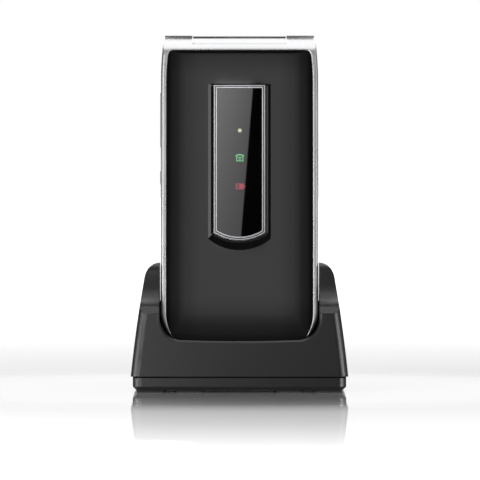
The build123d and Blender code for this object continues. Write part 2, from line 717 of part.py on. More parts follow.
def deck_profile(grow=0.0):
    """What is open behind the phone, above the rear wall and the sloping deck."""
    return Polygon(
        (-14.0, 29.8 - grow), (3.4 + grow * 0.4, 29.8 - grow), (31.0, 12.4 - grow), (45.0, 12.4 - grow),
        (45.0, 70.0), (-14.0, 70.0), align=None,
    )


def phone_pocket(grow):
    """The phone's own shape, grown on every side, in the phone's frame."""
    body = slab(front_outline(0, -grow), -9.5 - grow, base_back + grow)
    return body + slab(Pos(0, 60) * Rectangle(2 * (half_width + grow), 60), -9.5 - grow, base_back + grow)


cradle_screw_places = [(-28.5, -13.0), (28.5, -13.0), (-28.5, 15.0), (28.5, 15.0)]
boss_top, cradle_screw_r = 16.0, 1.25


def cradle_hollow():
    """Room inside the shell, about one wall thickness in from every outer face."""
    inner_y = cradle_depth / 2 - wall
    side_view = Polygon(
        (inner_y, seam_z - 1), (inner_y, 11.4), (20.8, 15.2), (13.6, 23.2), (5.2, 36.2), (-3.0, 40.6),
        (-13.9, 40.6), (-14.9, 36.8), (-18.6, 30.2), (-27.6, 26.3), (-inner_y, 25.6), (-inner_y, seam_z - 1),
        align=None,
    )
    half_low, half_mid, half_top = cradle_half - wall, cradle_mid - wall, cradle_top - wall
    front_view = Polygon(
        (half_low, seam_z - 1), (half_mid, cradle_mid_z), (half_top, cradle_top_z),
        (-half_top, cradle_top_z), (-half_mid, cradle_mid_z), (-half_low, seam_z - 1), align=None,
    )
    hollow = slab(front_view, -inner_y, inner_y) & across(side_view, -40, 40)
    # the walls of the phone's pocket, of the front opening and of the deck stand in it
    side, front, back = ear_in + wall, -9.5 - fit - wall, base_back + fit + wall
    hollow -= phone_place * block(-side, side, front, back, -fit - wall, 60)
    hollow -= block(-side, side, -40, phone_y, lip_z - lip_bow - lip_fall - wall, 60)
    hollow -= across(deck_profile(wall), -side, side)
    for x, y in cradle_screw_places:
        hollow -= block(min(x, x * 1.3) - 1.5, max(x, x * 1.3) + 1.5, y - 2.5, y + 2.5, 0, boss_top)
    return hollow


def cradle_shell():
    body = cradle_outer() - cradle_hollow()
    body -= phone_place * phone_pocket(fit)
    body -= front_opening()
    body -= across(deck_profile(), -ear_in, ear_in)
    for x, y in cradle_screw_places:
        body -= peg_z(0, 13.0, x, y, cradle_screw_r, 6)
    # mouth for the contact block's nose, and the opening of the charging socket
    body -= phone_place * block(-6.4, 6.4, pin_y - 2.7, pin_y + 2.7, -6, 1)
    body -= Pos(0, 31, 8.1) * Box(8.8, 10, 3.8)
    return body


def cradle_base():
    """Bottom tray: bevelled edge, a rim that fits inside the shell, screw wells."""
    tray = Pos(0, 0, foot_h) * extrude(RectangleRounded(71.4, 61.0, 3.0), amount=seam_z - 0.35 - foot_h)
    tray = chamfer(tray.faces().sort_by(Axis.Z)[0].edges(), 1.1)
    tray += Pos(0, 0, seam_z - 0.4) * extrude(cut_rectangle(68.2, 57.4, 1.6), amount=0.4)
    tray -= Pos(0, 0, 2.6) * extrude(cut_rectangle(66.4, 55.6, 1.4), amount=6)
    for x, y in cradle_screw_places:
        tray += peg_z(foot_h + 0.1, seam_z, x, y, 3.6)
        tray -= peg_z(0, 2.4, x, y, 2.4) + peg_z(2.4, 8, x, y, cradle_screw_r + 0.1, 6)
    return tray


foot_places = [(x, y) for x in (-29.8, -16.7, 16.7, 29.8) for y in (-25.0, 25.0)]


def cradle_feet():
    pads = []
    for x, y in foot_places:
        pads.append(Pos(x, y) * extrude(cut_rectangle(9.2, 7.0, 1.2), amount=foot_h))
    return group(pads)


def cradle_screws():
    screws = []
    for x, y in cradle_screw_places:
        screws.append(peg_z(1.3, 2.4, x, y, 2.2) + peg_z(2.4, 12.5, x, y, cradle_screw_r, 6))
    return group(screws)


def cradle_board():
    board = block(-20, 20, 4.0, 28.4, 5.4, 6.6)
    return board + block(-17, -8, 8, 17, 6.6, 8.0) + block(6, 12, 10, 20, 6.6, 8.4)


def cradle_usb_socket():
    shell = block(-3.9, 3.9, 25.4, 30.7, 6.6, 9.6) - block(-3.4, 3.4, 26.6, 32, 7.1, 9.1)
    return shell + block(-2.6, 2.6, 26.0, 30.0, 8.1, 8.6)


def contact_block():
    """Carrier of the two charging contacts, in the phone's frame, under the pocket floor."""
    low = -(fit + wall)
    body = block(-6.2, 6.2, pin_y - 2.5, pin_y + 2.5, -6.4, -0.6)
    body += block(-8.5, 8.5, pin_y - 2.5, pin_y + 2.5, -6.4, low - 0.1)
    for x in (-pin_x, pin_x):
        body -= peg_z(-5.6, -1.4, x, pin_y, 1.35) + peg_z(-1.4, 0, x, pin_y, 1.0)
    return body


def contact_pin(x):
    """Sprung contact: round tip and a collar that keeps it in the block."""
    tip = peg_z(-4.2, 0.0, x, pin_y, 0.8)
    tip = chamfer(tip.faces().sort_by(Axis.Z)[-1].edges(), 0.4)
    return tip + peg_z(-2.6, -1.6, x, pin_y, 1.15)


# ---------------------------------------------------------------- assembly
def build_phone():
    phone = {}
    for make in (
        lid_frame, lid_panel, indicator_trim, indicator_window, indicator_board, indicator_leds,
        lcd_module, earpiece, lid_inner_cover, display_window, lid_bumpers, lid_screws,
        hinge_cam_pin, hinge_pivot_tube, keypad_case, rear_case, hinge_barrel, hinge_cartridge,
        hinge_bush, main_board, dome_sheet, keymat, battery, loudspeaker, camera_module,
        charge_pads, phone_usb_socket, headphone_socket, case_screws, battery_cover,
        nav_rocker, ok_key, sos_button,
    ):
        phone[make.__name__] = make()
    phone["volume_rocker"] = side_key(rocker_z, rocker_len)
    phone["torch_key"] = side_key(torch_z, torch_len)
    for name, (column, row) in number_keys.items():
        phone[name] = key_cap(column * pitch_x, first_row + row * pitch_z, key_w, key_h, key_cut)
    for name, (x, z) in function_keys.items():
        phone[name] = key_cap(x, z, function_w, function_h, function_cut)
    phone["contact_block"] = contact_block()
    phone["contact_pin_left"] = contact_pin(-pin_x)
    phone["contact_pin_right"] = contact_pin(pin_x)
    return phone


def build_cradle():
    pieces = (
        cradle_shell, cradle_base, cradle_feet, cradle_screws, cradle_board, cradle_usb_socket,
    )
    return {make.__name__: make() for make in pieces}


for name, shape in build_phone().items():
    parts[name] = phone_place * shape
parts.update(build_cradle())

os.makedirs("parts", exist_ok=True)
for name, shape in parts.items():
    export_step(shape, f"parts/{name}.step")
print(len(parts), "sub-parts written")
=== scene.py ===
import json
import math

import bmesh
import bpy
from mathutils import Matrix, Vector


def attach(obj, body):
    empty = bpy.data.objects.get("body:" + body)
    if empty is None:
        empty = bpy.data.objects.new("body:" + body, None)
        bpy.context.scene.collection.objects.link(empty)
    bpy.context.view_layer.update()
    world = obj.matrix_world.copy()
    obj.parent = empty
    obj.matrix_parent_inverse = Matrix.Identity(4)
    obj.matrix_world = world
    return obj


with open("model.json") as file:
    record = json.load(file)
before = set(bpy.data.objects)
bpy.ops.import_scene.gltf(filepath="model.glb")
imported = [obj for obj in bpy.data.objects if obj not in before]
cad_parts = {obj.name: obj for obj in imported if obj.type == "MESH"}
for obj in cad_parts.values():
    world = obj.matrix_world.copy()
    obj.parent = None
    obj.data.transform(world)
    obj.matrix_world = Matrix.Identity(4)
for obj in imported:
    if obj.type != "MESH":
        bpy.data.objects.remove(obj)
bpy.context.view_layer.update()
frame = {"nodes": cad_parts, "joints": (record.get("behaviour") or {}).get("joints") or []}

# ------------------------------------------------------------------ lid frame and hinge barrel
# Injection-moulded ABS, sprayed silver and clear-coated. The lid's frame runs round the dark
# face panel and carries the hinge knuckles; the barrel between them belongs to the keypad half.

per_m = 1000  # sizes are written in millimetres, and the scene is in metres


def linear(code):
    """Linear RGBA of an sRGB hex colour."""
    parts = [int(code[i:i + 2], 16) / 255 for i in (1, 3, 5)]
    return [c / 12.92 if c <= 0.04045 else ((c + 0.055) / 1.055) ** 2.4 for c in parts] + [1.0]


def add(material, kind, inputs, **settings):
    """A new node with its own settings; an input gets a value or another node's output."""
    node = material.node_tree.nodes.new("ShaderNode" + kind)
    for name, value in settings.items():
        setattr(node, name, value)
    for name, value in inputs.items():
        if isinstance(value, bpy.types.NodeSocket):
            material.node_tree.links.new(value, node.inputs[name])
        else:
            node.inputs[name].default_value = value
    return node


def start(name, colour, roughness, **values):
    """A material and its shader, with every even value on the shader's own socket."""
    material = bpy.data.materials.new(name)
    material.use_nodes = True
    shader = material.node_tree.nodes["Principled BSDF"]
    shader.inputs["Base Color"].default_value = linear(colour)
    shader.inputs["Roughness"].default_value = roughness
    for key, value in values.items():
        shader.inputs[key.replace("_", " ")].default_value = value
    return material, shader


def grain(material, shader, size, depth, edge, spread=0.04):
    """Surface of a moulded or sprayed piece, in millimetres: grain, uneven gloss, soft edges.

    A grain finer than about 0.2 mm doesn't show in a render, so such grains are drawn at 0.15 to
    0.6 mm. Gives back two patterns, that of the grain and that of the broad patches of gloss.
    """
    patch_size = 14.0
    link = material.node_tree.links.new
    place = add(material, "TexCoord", {}).outputs["Object"]
    fine = add(material, "TexNoise", {"Vector": place, "Scale": per_m / size, "Detail": 2.0})
    broad = add(material, "TexNoise", {
        "Vector": place, "Scale": per_m / patch_size, "Detail": 3.0})
    middle = shader.inputs["Roughness"].default_value
    gloss = add(material, "MapRange", {
        "Value": broad.outputs["Fac"], "From Min": 0.3, "From Max": 0.7,
        "To Min": middle - spread, "To Max": middle + spread})
    link(gloss.outputs["Result"], shader.inputs["Roughness"])
    rounded = add(material, "Bevel", {"Radius": edge / per_m}, samples=12)
    bump = add(material, "Bump", {
        "Height": fine.outputs["Fac"], "Distance": depth / per_m, "Strength": 1.0,
        "Normal": rounded.outputs["Normal"]})
    link(bump.outputs["Normal"], shader.inputs["Normal"])
    return fine.outputs["Fac"], broad.outputs["Fac"]


def vary(material, shader, factor, first, second):
    """Lets the colour drift between two hex values with a pattern."""
    drift = add(material, "Mix", {0: factor, 6: linear(first), 7: linear(second)}, data_type="RGBA")
    material.node_tree.links.new(drift.outputs[2], shader.inputs["Base Color"])


def dress(material, *names):
    """Puts a material on pieces of the CAD model."""
    for name in names:
        for holder in frame["nodes"][name].material_slots:
            holder.material = material


# Metallic paint under a thin clear coat: a soft sheen of flakes with a sharper one over it. The
# flakes are about 0.03 mm, drawn at 0.25 mm so that they show at all. The barrel is glossier.
flake = 0.25
for name, roughness, flake_depth, edge, pieces in (
        ("silver_spray_paint", 0.28, 0.0006, 0.6, ("lid_frame", "volume_rocker", "torch_key")),
        ("silver_barrel_paint", 0.2, 0.0008, 0.15, ("hinge_barrel",))):
    paint, shader = start(name, "#B5B5B6", roughness, Metallic=0.85, Coat_Weight=0.2,
                          Coat_Roughness=0.12)
    flakes, _ = grain(paint, shader, flake, flake_depth, edge)
    vary(paint, shader, flakes, "#AFAFB0", "#BCBCBD")
    dress(paint, *pieces)

# ------------------------------------------------------------------ face panel
# Polished black acrylic panel in the lid's recess, held by tape. Its long edges are pillowed,
# and a tapered recess for the indicator window is moulded into it. Its mirrored images are sharp
# and only just uneven, over a black that shows no grain.
panel_black, shader = start("polished_black_acrylic", "#0D0D0D", 0.05, Specular_IOR_Level=0.5)
_, patches = grain(panel_black, shader, 3.0, 0.0002, 0.1, 0.01)
vary(panel_black, shader, patches, "#0B0B0B", "#100F10")
dress(panel_black, "lid_panel")

# ------------------------------------------------------------------ indicator window
# Bright plated ring pressed into the recess round a smoked acrylic pane that is printed black
# behind. Three signs are left clear in the print and lit by lamps on a small board.

# Nickel-chromium plate on moulded plastic: a bright, slightly cool mirror with soft edges.
plating, shader = start("bright_plating", "#B4B4B8", 0.14, Metallic=1.0)
_, patches = grain(plating, shader, 0.4, 0.0002, 0.06, 0.03)
vary(plating, shader, patches, "#ADADB1", "#BCBCC0")
dress(plating, "indicator_trim")
# Cast acrylic, nearly black: it mirrors almost like glass.
smoked, shader = start("smoked_acrylic", "#030303", 0.012, Specular_IOR_Level=0.5)
_, patches = grain(smoked, shader, 3.0, 0.00005, 0.02, 0.004)
vary(smoked, shader, patches, "#020202", "#050505")
dress(smoked, "indicator_window")
# Solder resist over glass laminate: a half-gloss green with a faint unevenness of the weave below.
solder_mask, shader = start("green_solder_mask", "#0B4A27", 0.4)
_, patches = grain(solder_mask, shader, 0.5, 0.004, 0.05)
vary(solder_mask, shader, patches, "#093E20", "#0E5A2F")
dress(solder_mask, "indicator_board", "main_board", "cradle_board")
# Cast lamp resin: pale, smooth and shiny.
resin, shader = start("clear_lamp_resin", "#D8D2A0", 0.2)
grain(resin, shader, 0.3, 0.001, 0.05)
dress(resin, "indicator_leds")

# The phone leans back in the cradle. Its own frame is upright, in millimetres, z from its
# bottom end to its hinge and y from front to back. Two of the joints give its lean and place.
joints = {joint["name"]: joint for joint in frame["joints"]}
upward = Vector(joints["phone_lift"]["axis"])
lean = -math.atan2(upward.y, upward.z)
hinge_y, hinge_z = -1.3, 104.0
turn = Matrix.Rotation(lean, 4, "X")
hinge_at = Vector(joints["lid_hinge"]["pos_m"])
foot_at = hinge_at - turn @ Vector((0, hinge_y / per_m, hinge_z / per_m))
from_phone = Matrix.Translation(foot_at) @ turn @ Matrix.Scale(1 / per_m, 4)
upright = Matrix.Rotation(math.pi / 2, 4, "X")


def on_front(x, y, z):
    """Place of a flat piece that faces the front of the phone."""
    return from_phone @ Matrix.Translation((x, y, z)) @ upright


def on_back(x, y, z):
    """The same for a piece that faces its back."""
    return from_phone @ Matrix.Translation((x, y, z)) @ Matrix.Rotation(math.pi, 4, "Z") @ upright


def plate(shape, width, height, radius, x=0.0, y=0.0, turned=0.0):
    """Adds a flat rectangle, with rounded corners if it has a radius, to a shape."""
    made = bmesh.ops.create_grid(shape, x_segments=1, y_segments=1, size=0.5)["verts"]
    bmesh.ops.scale(shape, vec=(width, height, 1), verts=made)
    if radius:
        made = bmesh.ops.bevel(shape, geom=made, offset=radius, segments=4, profile=0.5,
                               affect="VERTICES", material=-1)["verts"]
    bmesh.ops.rotate(shape, cent=(0, 0, 0), matrix=Matrix.Rotation(turned, 3, "Z"), verts=made)
    bmesh.ops.translate(shape, vec=(x, y, 0), verts=made)


def sector(shape, inner, outer, begin, sweep, x=0.0, y=0.0):
    """Adds a flat piece of a ring: an edge swung round a centre, by degrees."""
    fewest, step_angle = 6, 12
    known = set(shape.verts)
    aim = math.radians(begin)
    ends = [shape.verts.new((r * math.cos(aim), r * math.sin(aim), 0)) for r in (inner, outer)]
    swung = shape.edges.new(ends)
    bmesh.ops.spin(shape, geom=ends + [swung], cent=(0, 0, 0), axis=(0, 0, 1),
                   angle=math.radians(sweep), steps=max(fewest, round(abs(sweep) / step_angle)),
                   use_merge=abs(sweep) == 360)
    made = [vert for vert in shape.verts if vert not in known]
    bmesh.ops.translate(shape, vec=(x, y, 0), verts=made)


def disc(shape, radius, corners, x=0.0, y=0.0, turned=0.0):
    """Adds a flat disc, or with three corners a triangle."""
    made = bmesh.ops.create_circle(shape, cap_ends=True, segments=corners, radius=radius)["verts"]
    bmesh.ops.rotate(shape, cent=(0, 0, 0), matrix=Matrix.Rotation(turned, 3, "Z"), verts=made)
    bmesh.ops.translate(shape, vec=(x, y, 0), verts=made)


def fit_piece(name, shape, material, body):
    """Makes the finished object of a shape whose place is already in its mesh."""
    bmesh.ops.recalc_face_normals(shape, faces=shape.faces[:])
    mesh = bpy.data.meshes.new(name)
    shape.to_mesh(mesh)
    shape.free()
    mesh.materials.append(material)
    piece = bpy.data.objects.new(name, mesh)
    bpy.context.scene.collection.objects.link(piece)
    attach(piece, body)


def thicken(shape, depth):
    """Gives a flat shape its thickness."""
    raised = bmesh.ops.extrude_face_region(shape, geom=shape.faces[:])["geom"]
    tops = [part for part in raised if isinstance(part, bmesh.types.BMVert)]
    bmesh.ops.translate(shape, vec=(0, 0, depth), verts=tops)


merged_within = 0.001  # points closer than this, in millimetres, become one


def printed(name, shape, depth, placing, material, body):
    """A flat shape given its thickness and put in its place."""
    bmesh.ops.remove_doubles(shape, verts=shape.verts[:], dist=merged_within)
    thicken(shape, depth)
    bmesh.ops.transform(shape, matrix=placing, verts=shape.verts[:])
    fit_piece(name, shape, material, body)


# A thin black piece laid in the groove of the ring, between its outer rib and its inner bead: down
# both sides, across the top and along the bowed lower end. It is painted shade that stands for the
# dark of the groove, and shows as a thin shiny dark line.
groove_shade, shader = start("painted_groove_shade", "#0A0A0A", 0.2)
_, patches = grain(groove_shade, shader, 0.5, 0.0005, 0.02)
vary(groove_shade, shader, patches, "#080808", "#0E0E0E")
groove_width, groove_half, groove_floor, groove_shade_depth = 0.3, 8.15, -8.9, 0.03
groove_top, groove_corner, groove_low = 90.25, 40.77, 38.35
groove_rise = groove_corner - groove_low
groove_r = (groove_half ** 2 + groove_rise ** 2) / (2 * groove_rise)
groove_turn = math.degrees(math.asin(groove_half / groove_r))
groove = bmesh.new()
for side in (-1, 1):
    plate(groove, groove_width, groove_top - groove_corner, 0.0, side * groove_half,
          (groove_top + groove_corner) / 2)
plate(groove, 2 * groove_half + groove_width, groove_width, 0.0, 0.0, groove_top)
sector(groove, groove_r - groove_width / 2, groove_r + groove_width / 2, 270 - groove_turn,
       2 * groove_turn, 0.0, groove_low + groove_r)
printed("trim_groove_painted_shade", groove, groove_shade_depth, on_front(0, groove_floor, 0), groove_shade, "lid")

# Lamp light through coloured ink: the colour glows and the pane's gloss lies over it. The signs
# are a round lamp, a ringing telephone and a battery with its pole.
sign_x, sign_y, sign_depth = 0.1, -9.25, 0.02
receiver_ends = (-1.15, 1.15)
telephone_bars = ((0, 0.25, 1.9, 0.26), (0, -1.0, 2.5, 0.3), (-1.05, -0.4, 0.32, 1.2),
                  (1.05, -0.4, 0.32, 1.2))
battery_bars = ((0, 0.85, 2.7, 0.28), (0, -0.85, 2.7, 0.28), (-1.25, 0, 0.28, 1.9),
                (0.55, 0, 1.5, 1.5), (1.6, 0, 0.35, 0.9), (-0.65, 0, 0.3, 0.9))
for tint, colour, height in (("yellow", "#E4EBC2", 75.2), ("green", "#7FDD96", 65.8),
                             ("red", "#BE4A5E", 56.1)):
    glowing, shader = start(tint + "_sign_light", "#050505", 0.05, Emission_Color=linear(colour),
                            Emission_Strength=0.65)
    grain(glowing, shader, 0.2, 0.0001, 0.02, 0.01)
    sign = bmesh.new()
    if tint == "yellow":
        disc(sign, 0.66, 24)
    elif tint == "green":
        sector(sign, 2.0, 2.45, 52, 76, 0, -1.1)
        for x in receiver_ends:
            plate(sign, 0.5, 0.5, 0.1, x, 0.62)
        for x, y, width, tall in telephone_bars:
            plate(sign, width, tall, 0.05, x, y)
        sector(sign, 0.22, 0.42, 0, 360, 0, -0.38)
    else:
        for x, y, width, tall in battery_bars:
            plate(sign, width, tall, 0.05, x, y)
    printed(tint + "_sign", sign, sign_depth, on_front(sign_x, sign_y, height), glowing, "lid")

# ------------------------------------------------------------------ inner side of the lid
# Moulded black ABS cover, spark-eroded to a fine matt grain, screwed to the frame from inside.
# A clear acrylic pane printed with a black border lies over the display.

# Spark-eroded ABS, matt dark grey: light breaks up in its pits. They are about 0.05 mm, drawn at
# 0.22 mm so that they show.
black_plastic, shader = start("spark_eroded_black_abs", "#242425", 0.48, Specular_IOR_Level=0.35)
pits, _ = grain(black_plastic, shader, 0.22, 0.006, 0.2)
vary(black_plastic, shader, pits, "#1F1F20", "#2A2A2B")
dress(black_plastic, "lid_inner_cover", "keypad_case", "rear_case", "battery_cover",
      "headphone_socket", "camera_module", "hinge_bush")
# Hard-coated clear acrylic over a dark print: a deep, even gloss.
display_glass, shader = start("display_pane_acrylic", "#060608", 0.04)
_, patches = grain(display_glass, shader, 3.0, 0.0001, 0.05, 0.015)
vary(display_glass, shader, patches, "#050507", "#08080A")
dress(display_glass, "display_window", "lcd_module")
# Liquid crystal between glass sheets, not lit: blue-grey. The columns of cells are about 0.2 mm
# apart, drawn 1.9 mm apart so that they show at all.
column_pitch = 1.885
waves_at_one = 20 / math.tau  # bands in one unit of a wave texture at scale 1
stripe_scale = per_m / column_pitch / waves_at_one
cells, shader = start("unlit_display_cells", "#171C22", 0.06)
place = add(cells, "TexCoord", {}).outputs["Object"]
rows = add(cells, "TexWave", {"Vector": place, "Scale": stripe_scale}, bands_direction="X")
vary(cells, shader, rows.outputs["Color"], "#151A20", "#1B2128")
display_width, display_height, display_z, display_depth = 35.2, 46.8, 53.0, 0.02
area = bmesh.new()
plate(area, display_width, display_height, 0.4)
printed("display_area", area, display_depth, on_back(0, -1.56, display_z), cells, "lid")

# Rolled or turned stainless steel: a bright metal with fine dull patches.
steel, shader = start("bright_steel", "#B9B9BB", 0.28, Metallic=1.0)
_, patches = grain(steel, shader, 0.3, 0.001, 0.08)
vary(steel, shader, patches, "#AEAEB0", "#C6C6C8")
dress(steel, "earpiece", "loudspeaker", "dome_sheet", "lid_screws", "case_screws",
      "cradle_screws", "hinge_cam_pin", "hinge_pivot_tube", "hinge_cartridge", "phone_usb_socket",
      "cradle_usb_socket")
# Moulded rubber: black and without gloss.
rubber, shader = start("black_rubber", "#161616", 0.8)
_, patches = grain(rubber, shader, 0.3, 0.01, 0.2)
vary(rubber, shader, patches, "#131313", "#1B1B1B")
dress(rubber, "cradle_feet", "lid_bumpers", "keymat")

# Acoustic cloth, black and matt, of 0.12 mm thread. Its weave is drawn as coarse as the columns
# of the display so that it shows.
cloth, shader = start("woven_acoustic_cloth", "#101011", 0.85)
place = add(cloth, "TexCoord", {}).outputs["Object"]
warp = add(cloth, "TexWave", {"Vector": place, "Scale": stripe_scale}, bands_direction="X")
weft = add(cloth, "TexWave", {"Vector": place, "Scale": stripe_scale}, bands_direction="Z")
weave = add(cloth, "Math", {0: warp.outputs["Fac"], 1: weft.outputs["Fac"]},
            operation="MULTIPLY")
vary(cloth, shader, weave.outputs[0], "#0A0A0B", "#2A2A2C")
cloth_depth, cloth_corner = 0.05, 0.8
earpiece_width, earpiece_height, earpiece_z = 12.6, 4.8, 14.0
sheet = bmesh.new()
plate(sheet, earpiece_width, earpiece_height, cloth_corner)
printed("earpiece_cloth", sheet, cloth_depth, on_back(0, -3.09, earpiece_z), cloth, "lid")

# The cross recess of each screw is pressed in. Here a thin dark steel cross laid over the screw
# stands
# for it: painted shade of the recess's walls.
recess_shade_paint, shader = start("painted_recess_shade", "#2A2A2C", 0.5, Metallic=0.6)
grain(recess_shade_paint, shader, 0.2, 0.001, 0.02)


def cross_recess_shades(name, places, span, body):
    """Dark crosses, painted shade of the driver's recess, on the screws of one set."""
    arm_share, arm_corner, mark_depth = 0.22, 0.06, 0.03
    crosses = bmesh.new()
    for placing in places:
        cross = bmesh.new()
        plate(cross, span, span * arm_share, arm_corner)
        plate(cross, span * arm_share, span, arm_corner)
        thicken(cross, mark_depth)
        bmesh.ops.transform(cross, matrix=placing, verts=cross.verts[:])
        held = bpy.data.meshes.new("cross")
        cross.to_mesh(held)
        cross.free()
        crosses.from_mesh(held)
        bpy.data.meshes.remove(held)
    fit_piece(name, crosses, recess_shade_paint, body)


phone_cross, lid_screw_x, lid_screw_y = 1.6, 21.6, -1.76
cross_recess_shades("lid_screw_recess_shades",
               [on_back(x, lid_screw_y, z) for x in (-lid_screw_x, lid_screw_x)
                for z in (18.5, 90.5)], phone_cross, "lid")

# ------------------------------------------------------------------ keypad
# Two-shot keys: satin dark caps with white numerals pad-printed on top. The call and end keys
# are moulded in green and red, and the rocker round the OK key is plated.

# Satin ABS, coloured right through: soft highlights that roll over the rounded edges.
key_plastic = {}
for tint, colour, darkest, palest in (("dark", "#232326", "#202023", "#28282B"),
                                      ("green", "#1E8A3C", "#1B8238", "#229242"),
                                      ("red", "#B81E22", "#AD1B1F", "#C22327")):
    key_plastic[tint], shader = start(tint + "_key_abs", colour, 0.35)
    _, patches = grain(key_plastic[tint], shader, 0.3, 0.002, 0.25)
    vary(key_plastic[tint], shader, patches, darkest, palest)
dress(key_plastic["green"], "call_key")
dress(key_plastic["red"], "end_key", "sos_button")
dress(plating, "nav_rocker")
# Two-part ink from a soft pad: opaque, faintly speckled and without gloss.
white_ink, shader = start("white_pad_printing_ink", "#E8E8E4", 0.5)
specks, _ = grain(white_ink, shader, 0.15, 0.002, 0.03)
vary(white_ink, shader, specks, "#E0E0DC", "#EEEEEA")


def numeral(character, height):
    """Flat shape of one printed character, centred on itself."""
    cap_share = 0.69  # height of a numeral in a font of size 1
    letters = bpy.data.curves.new("numeral", "FONT")
    letters.body, letters.size = character, height / cap_share
    letters.align_x, letters.align_y = "CENTER", "CENTER"
    letters.resolution_u = 6
    holder = bpy.data.objects.new("numeral", letters)
    flat = bpy.data.meshes.new_from_object(holder)
    shape = bmesh.new()
    shape.from_mesh(flat)
    across = [vert.co.x for vert in shape.verts]
    up = [vert.co.y for vert in shape.verts]
    middle = Vector(((min(across) + max(across)) / 2, (min(up) + max(up)) / 2, 0))
    bmesh.ops.translate(shape, vec=-middle, verts=shape.verts[:])
    bpy.data.objects.remove(holder)
    bpy.data.curves.remove(letters)
    bpy.data.meshes.remove(flat)
    return shape


key_top, pitch_x, pitch_z, first_row = -1.0, 15.0, 10.4, 14.0
numeral_height, star_height, ink_depth = 4.8, 6.2, 0.03
key_rows = (("key_star", "key_0", "key_hash"), ("key_7", "key_8", "key_9"),
            ("key_4", "key_5", "key_6"), ("key_1", "key_2", "key_3"))
for row, names in enumerate(key_rows):
    for column, name in enumerate(names):
        dress(key_plastic["dark"], name)
        sign = {"key_star": "*", "key_hash": "#"}.get(name, name[-1])
        shape = numeral(sign, star_height if sign == "*" else numeral_height)
        placing = on_front((column - 1) * pitch_x, key_top, first_row + row * pitch_z)
        printed(name + "_numeral", shape, ink_depth, placing, white_ink, name)
dress(key_plastic["dark"], "soft_key_left", "soft_key_right", "ok_key")

# Marks of the keys round the rocker: a dash on each soft key, a receiver lifted on the call key
# and laid down on the end key, four arrows on the rocker and a ring on the OK key.
outer_x, soft_z, rocker_z, call_z = 17.5, 74.5, 67.5, 60.5
for name, side in (("soft_key_left", -1), ("soft_key_right", 1)):
    dash = bmesh.new()
    plate(dash, 4.4, 0.9, 0.4)
    printed(name + "_dash", dash, ink_depth, on_front(side * outer_x, key_top, soft_z), white_ink,
            name)
ear_x, ear_y, ear_size, ear_turn = 2.05, -0.45, 1.5, math.radians(40)
for name, side, lifted in (("call_key", -1, 0.9), ("end_key", 1, 0.0)):
    handset = bmesh.new()
    sector(handset, 2.5, 3.35, 45, 90, 0, -2.1)
    plate(handset, ear_size, ear_size, 0.3, -ear_x, ear_y, ear_turn)
    plate(handset, ear_size, ear_size, 0.3, ear_x, ear_y, -ear_turn)
    bmesh.ops.rotate(handset, cent=(0, 0, 0), matrix=Matrix.Rotation(lifted, 3, "Z"),
                     verts=handset.verts[:])
    printed(name + "_handset", handset, ink_depth, on_front(side * outer_x, key_top, call_z),
            white_ink, name)
arrows = bmesh.new()
arrow_size, arrow_reach = 0.95, 7.7
for step in range(4):
    aim = step * math.pi / 2
    disc(arrows, arrow_size, 3, arrow_reach * math.sin(aim), arrow_reach * math.cos(aim), -aim)
dark_ink, shader = start("dark_pad_printing_ink", "#26262A", 0.5)
grain(dark_ink, shader, 0.15, 0.002, 0.03)
printed("nav_arrows", arrows, ink_depth, on_front(0, key_top, rocker_z), dark_ink, "nav_rocker")
ring = bmesh.new()
sector(ring, 1.5, 2.0, 0, 360)
printed("ok_key_ring", ring, ink_depth, on_front(0, key_top, rocker_z), white_ink, "ok_key")

# ------------------------------------------------------------------ back of the phone
# Camera, torch lamp and emergency key sit in the upper strip; the battery cover lifts off the
# bay. The loudspeaker's slots are backed with acoustic cloth.


def domed(name, section, steps, placing, material):
    """A shallow lens on the back, swung round its axis from half of its section."""
    lens = bmesh.new()
    points = [lens.verts.new((radius, 0, height)) for radius, height in section]
    arc = [lens.edges.new(pair) for pair in zip(points, points[1:])]
    bmesh.ops.spin(lens, geom=points + arc, cent=(0, 0, 0), axis=(0, 0, 1), angle=math.tau,
                   steps=steps, use_merge=True)
    bmesh.ops.remove_doubles(lens, verts=lens.verts[:], dist=merged_within)
    bmesh.ops.holes_fill(lens, edges=[edge for edge in lens.edges if edge.is_boundary])
    bmesh.ops.transform(lens, matrix=placing, verts=lens.verts[:])
    fit_piece(name, lens, material, "keypad_half")


# Coated glass: nearly black with a clear sharp mirror image and a violet cast.
lens_glass, shader = start("coated_lens_glass", "#06060A", 0.03, Coat_Weight=1.0)
_, patches = grain(lens_glass, shader, 2.0, 0.0001, 0.05, 0.01)
vary(lens_glass, shader, patches, "#050509", "#0D0A1A")
strip_z, camera_x, torch_x, emergency_x = 88.5, -14.0, -6.4, 4.0
domed("camera_lens", ((0, 0.16), (0.8, 0.14), (1.4, 0.09), (1.86, 0.0)), 32,
      on_back(camera_x, 9.02, strip_z), lens_glass)
# Silicone with yellow phosphor over the lamp: shiny, with the grains showing through.
phosphor, shader = start("yellow_phosphor_resin", "#E2D68A", 0.25, Coat_Weight=0.6)
grains, _ = grain(phosphor, shader, 0.2, 0.004, 0.1)
vary(phosphor, shader, grains, "#D8CB7A", "#EBE09A")
domed("torch_lens", ((0, 0.14), (0.7, 0.11), (1.15, 0.04), (1.3, 0.0)), 28,
      on_back(torch_x, 9.3, strip_z), phosphor)
mark = bmesh.new()
sector(mark, 1.35, 1.8, 0, 360)
disc(mark, 0.5, 20)
printed("sos_button_mark", mark, ink_depth, on_back(emergency_x, 9.45, strip_z), white_ink,
        "sos_button")
speaker_width, speaker_height, speaker_z = 18.4, 9.2, 13.0
sheet = bmesh.new()
plate(sheet, speaker_width, speaker_height, cloth_corner)
printed("speaker_cloth", sheet, cloth_depth, on_back(0, 7.84, speaker_z), cloth, "keypad_half")
case_screw_x, case_screw_y = 23.4, 7.69
# Dark crosses of painted shade stand for the recesses of the case screws.
cross_recess_shades("case_screw_recess_shades",
               [on_back(x, case_screw_y, z) for x in (-case_screw_x, case_screw_x)
                for z in (27.0, 80.5)], phone_cross, "keypad_half")

